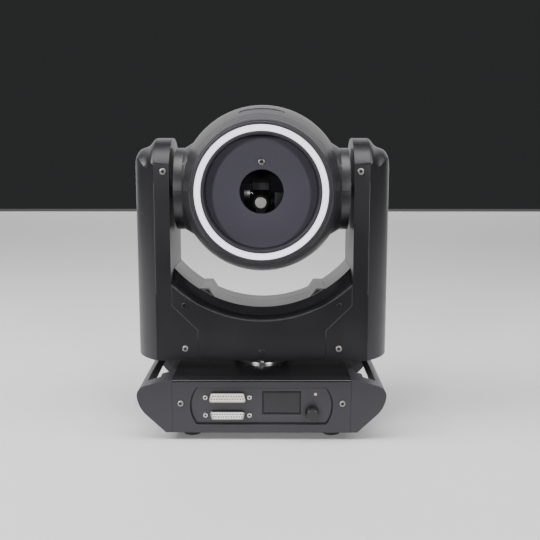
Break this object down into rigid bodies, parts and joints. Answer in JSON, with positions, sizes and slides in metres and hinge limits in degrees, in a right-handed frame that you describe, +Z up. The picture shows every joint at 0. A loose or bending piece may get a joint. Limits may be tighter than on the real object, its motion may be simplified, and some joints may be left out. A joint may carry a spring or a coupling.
{
  "type": "moving head light",
  "caption": "Moving head light: a round laser head with a light ring tilts in a U-shaped yoke that pans on a flat base with side grips and a recessed control panel.",
  "frame": {"origin": "on the floor under the pan axis, in the middle of the overall box", "axes": "+Z up along the pan axis, -Y the front that the head and the control panel face, +X to the right seen from the front"},
  "size_m": [0.2864, 0.208, 0.3574],
  "materials": {
    "casing": "satin dark grey moulding",
    "gloss_top": "glossy black",
    "panel": "smooth dark grey",
    "bezel": "satin grey with a violet cast",
    "chassis_steel": "black powder coat",
    "bright_metal": "bright plated",
    "aluminium": "machined",
    "motor_finish": "dark body with a bright end",
    "diffuser": "frosted white",
    "aperture_glass": "clear coated glass",
    "mirror_glass": "front-surface mirror",
    "display_window": "unlit smoked window",
    "knob_plastic": "glossy black",
    "moulded_black": "matt black",
    "connector_insert": "cream moulding",
    "circuit_board": "green solder mask",
    "lamp_lens": "pale pink lens",
    "rubber": "matt black",
    "belt_rubber": "matt black"
  },
  "bodies": {
    "base": {"base_chassis": "chassis_steel", "rubber_feet": "rubber", "base_top_cover": "gloss_top", "base_front_cover": "casing", "base_rear_cover": "casing", "side_cover_left": "casing", "side_cover_right": "casing", "control_panel": "panel", "data_connectors": "bright_metal", "data_connector_inserts": "connector_insert", "connector_jackscrews": "bright_metal", "display_module": "display_window", "status_led": "lamp_lens", "encoder_body": "moulded_black", "power_inlet": "moulded_black", "signal_connectors": "moulded_black", "base_screws": "bright_metal", "pan_spindle": "bright_metal", "pan_pulley": "aluminium", "power_supply": "chassis_steel", "control_board": "circuit_board"},
    "encoder_plunger": {"encoder_plunger": "moulded_black"},
    "control_knob": {"control_knob": "knob_plastic"},
    "yoke": {"yoke_frame": "chassis_steel", "saddle_cover": "casing", "yoke_front_plate": "casing", "yoke_rear_plate": "casing", "arm_inner_cover_left": "casing", "arm_inner_cover_right": "casing", "arm_outer_cover_left": "casing", "arm_outer_cover_right": "casing", "yoke_screws": "bright_metal", "pan_bearing": "bright_metal", "tilt_bearings": "bright_metal", "pan_motor": "motor_finish", "pan_belt": "belt_rubber", "tilt_motor": "motor_finish", "tilt_belt": "belt_rubber"},
    "pan_motor_pulley": {"pan_motor_pulley": "aluminium"},
    "tilt_motor_pulley": {"tilt_motor_pulley": "aluminium"},
    "head": {"head_upper_shell": "casing", "head_lower_shell": "casing", "head_rear_cap": "casing", "front_bezel": "bezel", "halo_diffuser": "diffuser", "halo_led_board": "circuit_board", "front_plate": "bezel", "plate_screw": "bright_metal", "aperture_glass": "aperture_glass", "head_frame": "chassis_steel", "tilt_spindles": "aluminium", "tilt_pulley": "aluminium", "galvo_block": "aluminium", "galvo_motors": "motor_finish", "laser_module": "aluminium", "heat_sink": "aluminium", "fan_housing": "moulded_black"},
    "tilt_mirror": {"tilt_mirror": "mirror_glass"},
    "pan_mirror": {"pan_mirror": "mirror_glass"},
    "fan_rotor": {"fan_rotor": "moulded_black"}
  },
  "joints": [
    {"name": "pan", "type": "hinge", "parent": "base", "child": "yoke", "pos_m": [0, 0, 0.09], "axis": [0, 0, 1], "range_deg": [-270, 270]},
    {"name": "tilt", "type": "hinge", "parent": "yoke", "child": "head", "pos_m": [0, 0, 0.26315], "axis": [1, 0, 0], "range_deg": [-225, 45]},
    {"name": "pan_motor_spin", "type": "hinge", "parent": "yoke", "child": "pan_motor_pulley", "pos_m": [0.062, 0.006, 0.091], "axis": [0, 0, 1], "continuous": true},
    {"name": "tilt_motor_spin", "type": "hinge", "parent": "yoke", "child": "tilt_motor_pulley", "pos_m": [-0.13, 0, 0.168], "axis": [1, 0, 0], "continuous": true},
    {"name": "tilt_mirror_turn", "type": "hinge", "parent": "head", "child": "tilt_mirror", "pos_m": [-0.001, -0.04, 0.2606], "axis": [1, 0, 0], "range_deg": [-15, 15]},
    {"name": "pan_mirror_turn", "type": "hinge", "parent": "head", "child": "pan_mirror", "pos_m": [-0.001, -0.04, 0.2513], "axis": [0, 1, 0], "range_deg": [-15, 15]},
    {"name": "fan_spin", "type": "hinge", "parent": "head", "child": "fan_rotor", "pos_m": [0, 0.08, 0.26315], "axis": [0, 1, 0], "continuous": true},
    {"name": "knob_push", "type": "slide", "parent": "base", "child": "encoder_plunger", "axis": [0, 1, 0], "range_m": [0, 0.0005], "stiffness_N_per_m": 1500, "springref_m": -0.001},
    {"name": "knob_turn", "type": "hinge", "parent": "encoder_plunger", "child": "control_knob", "pos_m": [0.054, -0.098, 0.03], "axis": [0, -1, 0], "continuous": true}
  ],
  "couplings": [
    {"joint": "pan_motor_spin", "follows": "pan", "ratio": -3.75},
    {"joint": "tilt_motor_spin", "follows": "tilt", "ratio": 4}
  ]
}
